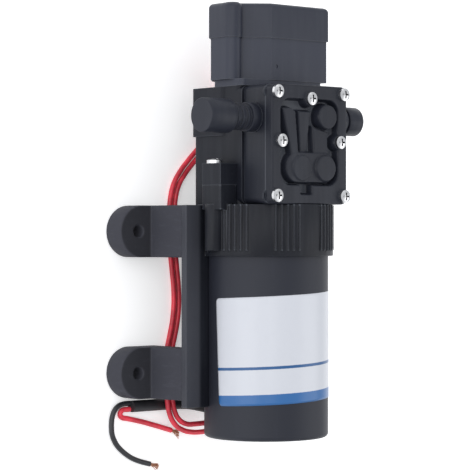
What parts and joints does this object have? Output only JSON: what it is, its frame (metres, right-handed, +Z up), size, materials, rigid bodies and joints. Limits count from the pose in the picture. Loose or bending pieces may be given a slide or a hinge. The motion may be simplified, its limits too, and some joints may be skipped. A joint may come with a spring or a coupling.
{
  "type": "diaphragm water pump",
  "caption": "Small diaphragm water pump: round motor on rubber feet, square pump head with side ports under a screwed cover, pressure switch at the end and loose supply leads.",
  "frame": {"origin": "middle of the rectangle of foot holes, on the surface that the feet stand on", "axes": "+X along the motor axis from the pump head to the motor's rear end, +Y towards the outlet port, +Z up off the feet"},
  "size_m": [0.1739, 0.0988, 0.0605],
  "materials": {
    "black_paint": "satin black paint",
    "label_paper": "coated white paper with blue stripes",
    "zinc_plate": "bright zinc plate",
    "ferrite": "sintered ferrite",
    "core_steel": "ground steel",
    "copper": "bare copper",
    "bronze": "bronze and brass",
    "brush_card": "laminate board",
    "carbon": "pressed carbon",
    "black_rubber": "matt moulded rubber",
    "black_plastic": "moulded black plastic",
    "cast_zinc": "die cast",
    "white_plastic": "natural moulding",
    "grey_plastic": "moulded",
    "red_plastic": "moulded",
    "red_pvc": "red wire insulation",
    "black_pvc": "black wire insulation"
  },
  "bodies": {
    "pump": {"motor_can": "black_paint", "rating_label": "label_paper", "motor_end_plate": "zinc_plate", "field_magnets": "ferrite", "rear_bushing": "bronze", "front_bearing": "core_steel", "brush_card": "brush_card", "brush_arms": "bronze", "carbon_brushes": "carbon", "motor_grommet": "black_rubber", "motor_bracket": "black_plastic", "front_left_foot": "black_rubber", "front_right_foot": "black_rubber", "rear_left_foot": "black_rubber", "rear_right_foot": "black_rubber", "drive_housing": "black_plastic", "long_screws": "zinc_plate", "motor_screws": "zinc_plate", "diaphragm": "black_rubber", "valve_plate": "white_plastic", "plate_seal": "black_rubber", "pump_cover": "black_plastic", "cover_screws": "zinc_plate", "inlet_port": "black_plastic", "outlet_port": "black_plastic", "port_seals": "black_rubber", "inlet_cap": "black_plastic", "switch_body": "black_plastic", "switch_lid": "black_plastic", "lid_screws": "zinc_plate", "switch_membrane": "black_rubber", "plunger_spring": "core_steel", "micro_switch": "grey_plastic", "switch_terminals": "bronze", "switch_grommet": "black_rubber", "switch_wire_inner": "red_pvc", "switch_wire_outer": "red_pvc", "lead_sleeve": "black_rubber", "red_lead": "red_pvc", "black_lead": "black_pvc", "red_strands": "copper", "black_strands": "copper"},
    "rotor": {"motor_shaft": "core_steel", "armature_core": "core_steel", "armature_winding": "copper", "commutator": "copper", "eccentric": "cast_zinc", "grub_screw": "zinc_plate"},
    "rod": {"connecting_rod": "white_plastic", "crank_bearing": "core_steel", "diaphragm_washer": "zinc_plate", "diaphragm_screw": "zinc_plate"},
    "suction_valve": {"inlet_valve": "black_rubber"},
    "delivery_valve": {"outlet_valve": "black_rubber"},
    "plunger": {"switch_plunger": "white_plastic"},
    "button": {"micro_button": "red_plastic"},
    "adjuster": {"adjusting_screw": "bronze"}
  },
  "joints": [
    {"name": "rotor_spin", "type": "hinge", "parent": "pump", "child": "rotor", "pos_m": [0.00025, 0, 0.034], "axis": [1, 0, 0], "continuous": true, "deforming": ["diaphragm"]},
    {"name": "rod_orbit", "type": "hinge", "parent": "rotor", "child": "rod", "pos_m": [-0.05775, 0, 0.033], "axis": [1, 0, 0], "continuous": true},
    {"name": "suction_lift", "type": "slide", "parent": "pump", "child": "suction_valve", "axis": [0, 0, -1], "range_m": [0, 0.0008], "stiffness_N_per_m": 60},
    {"name": "delivery_lift", "type": "slide", "parent": "pump", "child": "delivery_valve", "axis": [0, 0, 1], "range_m": [0, 0.0008], "stiffness_N_per_m": 60},
    {"name": "plunger_slide", "type": "slide", "parent": "pump", "child": "plunger", "axis": [-1, 0, 0], "range_m": [0, 0.0012], "stiffness_N_per_m": 2000, "deforming": ["plunger_spring"]},
    {"name": "button_slide", "type": "slide", "parent": "pump", "child": "button", "axis": [-1, 0, 0], "range_m": [0, 0.0012]},
    {"name": "adjuster_turn", "type": "hinge", "parent": "pump", "child": "adjuster", "pos_m": [-0.10475, 0.006, 0.036], "axis": [-1, 0, 0], "range_deg": [-360, 360]}
  ],
  "couplings": [
    {"joint": "rod_orbit", "follows": "rotor_spin", "ratio": -1},
    {"joint": "button_slide", "follows": "plunger_slide", "ratio": 1}
  ]
}
